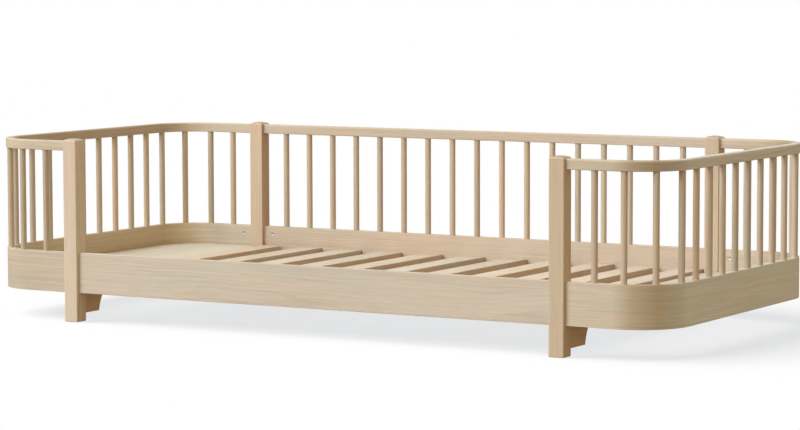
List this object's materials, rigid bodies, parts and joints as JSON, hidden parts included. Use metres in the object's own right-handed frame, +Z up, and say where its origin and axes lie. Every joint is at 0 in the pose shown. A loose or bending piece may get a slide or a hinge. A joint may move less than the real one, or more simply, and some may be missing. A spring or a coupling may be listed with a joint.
{
  "type": "toddler floor bed",
  "caption": "Low oak bed frame with bent rounded ends, spindle guard on three sides, open front, square posts, arched cross beams and a slatted deck with end boards.",
  "frame": {"origin": "floor level, in the middle of the bed", "axes": "+X along the bed to its right end, +Y to the back, +Z up"},
  "size_m": [2.07, 0.97, 0.5],
  "materials": {
    "oak": "pale bleached oak, matt",
    "slat_oak": "pale sanded oak, matt",
    "plywood": "pale plywood, matt",
    "beech": "bare beech",
    "steel": "zinc-plated",
    "tape": "woven cotton tape"
  },
  "bodies": {
    "root": {"back_ledger": "oak", "back_rail": "oak", "back_slat_tape": "tape", "back_spindles": "oak", "back_top_rail": "oak", "barrel_nuts": "steel", "front_ledger": "oak", "front_rail": "oak", "front_slat_tape": "tape", "left_back_cleat": "oak", "left_cross_beam": "oak", "left_end_board": "plywood", "left_end_ledger": "oak", "left_end_plank": "oak", "left_end_spindles": "oak", "left_end_top_rail": "oak", "left_front_cleat": "oak", "loose_tenons": "beech", "post_back_left": "oak", "post_back_right": "oak", "post_front_left": "oak", "post_front_right": "oak", "right_back_cleat": "oak", "right_cross_beam": "oak", "right_end_board": "plywood", "right_end_ledger": "oak", "right_end_plank": "oak", "right_end_spindles": "oak", "right_end_top_rail": "oak", "right_front_cleat": "oak", "slat_01": "slat_oak", "slat_02": "slat_oak", "slat_03": "slat_oak", "slat_04": "slat_oak", "slat_05": "slat_oak", "slat_06": "slat_oak", "slat_07": "slat_oak", "slat_08": "slat_oak", "slat_09": "slat_oak", "slat_10": "slat_oak", "slat_11": "slat_oak"}
  },
  "joints": []
}
